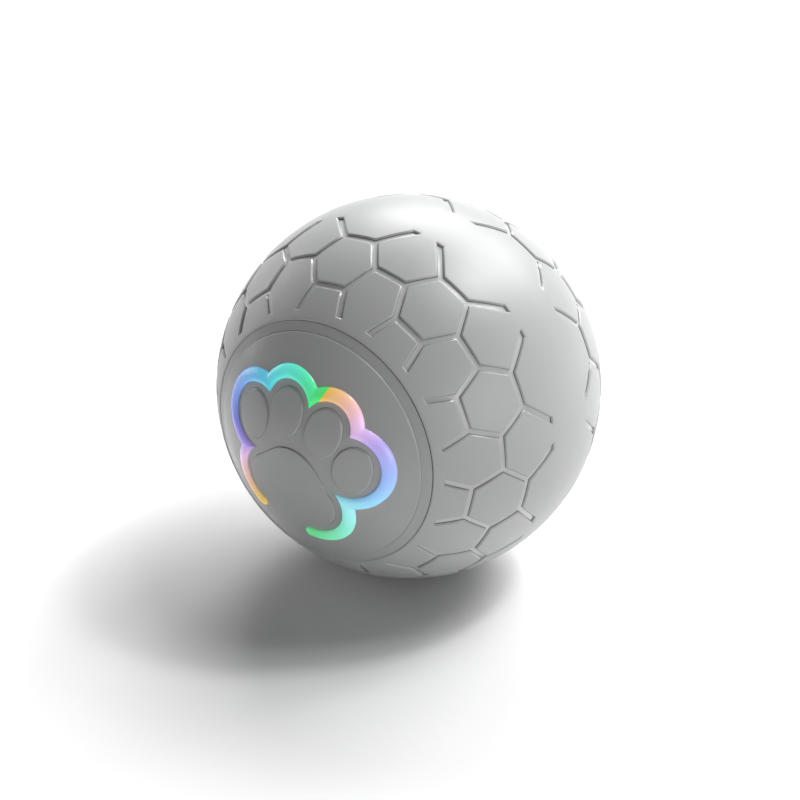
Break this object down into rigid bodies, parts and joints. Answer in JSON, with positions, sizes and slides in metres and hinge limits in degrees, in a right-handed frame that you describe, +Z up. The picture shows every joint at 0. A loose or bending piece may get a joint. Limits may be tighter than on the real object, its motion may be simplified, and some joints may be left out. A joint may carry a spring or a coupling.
{
  "type": "self-rolling dog ball",
  "caption": "Motor-driven ball that rolls by itself, with a soft honeycomb jacket, a lit paw button cap and a charging port cap.",
  "frame": {"origin": "centre of the ball", "axes": "+Z up, -Y along the rolling axis towards the paw cap, +Y towards the charging cap, +X to the right seen from the paw cap"},
  "size_m": [0.08, 0.0804, 0.08],
  "materials": {
    "jacket_rubber": "satin",
    "cap_plastic": "satin",
    "light_guide": "glossy",
    "inner_plastic": "matt",
    "seal_rubber": "matt",
    "plug_silicone": "matt",
    "board_green": "satin",
    "part_black": "matt",
    "lamp_white": "glossy",
    "battery_wrap": "satin",
    "tape_foam": "matt",
    "weight_steel": "brushed",
    "bright_steel": "polished",
    "washer_plastic": "satin",
    "brass": "satin",
    "gear_plastic": "satin",
    "screw_steel": "polished"
  },
  "bodies": {
    "ball": {"tread_jacket": "jacket_rubber", "front_shell": "inner_plastic", "rear_shell": "inner_plastic", "shell_seal": "seal_rubber", "front_bezel": "cap_plastic", "rear_bezel": "cap_plastic", "front_bulkhead": "inner_plastic", "rear_bulkhead": "inner_plastic", "front_bezel_screws": "screw_steel", "rear_bezel_screws": "screw_steel", "front_journal_screws": "screw_steel", "rear_journal_screws": "screw_steel", "front_board_screws": "screw_steel", "rear_board_screws": "screw_steel", "front_panel_seal": "seal_rubber", "rear_panel_seal": "seal_rubber", "lamp_board": "board_green", "charging_board": "board_green", "front_panel": "cap_plastic", "rear_panel": "cap_plastic", "light_ring": "light_guide", "light_lamps": "lamp_white", "power_switch": "part_black", "charging_socket": "bright_steel", "plug_anchor": "plug_silicone", "core_case": "inner_plastic", "core_cover": "inner_plastic", "gear_plate": "inner_plastic", "core_screws": "screw_steel", "battery": "battery_wrap", "battery_tape": "tape_foam", "main_board": "board_green", "board_parts": "part_black", "gear_axles": "bright_steel", "motor_can": "bright_steel", "motor_cap": "washer_plastic", "motor_screws": "screw_steel", "front_thrust_washer": "washer_plastic", "rear_thrust_washer": "washer_plastic"},
    "swinging_weight": {"counterweight": "weight_steel", "front_arm": "weight_steel", "rear_arm": "weight_steel", "output_gear": "gear_plastic", "front_bush": "brass", "rear_bush": "brass", "front_weight_screws": "screw_steel", "rear_weight_screws": "screw_steel"},
    "second_gear": {"second_gear": "gear_plastic"},
    "first_gear": {"first_gear": "gear_plastic"},
    "motor_rotor": {"motor_shaft": "bright_steel", "motor_pinion": "brass"},
    "paw_button": {"power_button": "cap_plastic", "switch_plunger": "part_black"},
    "port_plug": {"port_plug": "plug_silicone"}
  },
  "joints": [
    {"name": "weight_swing", "type": "hinge", "parent": "ball", "child": "swinging_weight", "pos_m": [0, 0, 0], "axis": [0, 1, 0], "continuous": true},
    {"name": "second_gear_spin", "type": "hinge", "parent": "ball", "child": "second_gear", "pos_m": [0.01067, 0, -0.00169], "axis": [0, 1, 0], "continuous": true},
    {"name": "first_gear_spin", "type": "hinge", "parent": "ball", "child": "first_gear", "pos_m": [0.00395, 0, -0.00738], "axis": [0, 1, 0], "continuous": true},
    {"name": "motor_spin", "type": "hinge", "parent": "ball", "child": "motor_rotor", "pos_m": [-0.005, 0, -0.0095], "axis": [0, 1, 0], "continuous": true},
    {"name": "paw_press", "type": "slide", "parent": "ball", "child": "paw_button", "axis": [0, 1, 0], "range_m": [0, 0.0005], "stiffness_N_per_m": 2000, "springref_m": -0.0003},
    {"name": "plug_swing", "type": "hinge", "parent": "ball", "child": "port_plug", "pos_m": [-0.0093, 0.0382, 0], "axis": [0, 0, 1], "range_deg": [0, 100]}
  ],
  "couplings": [
    {"joint": "second_gear_spin", "follows": "weight_swing", "ratio": -4.4},
    {"joint": "first_gear_spin", "follows": "weight_swing", "ratio": 11.733},
    {"joint": "motor_spin", "follows": "weight_swing", "ratio": -42.24}
  ]
}
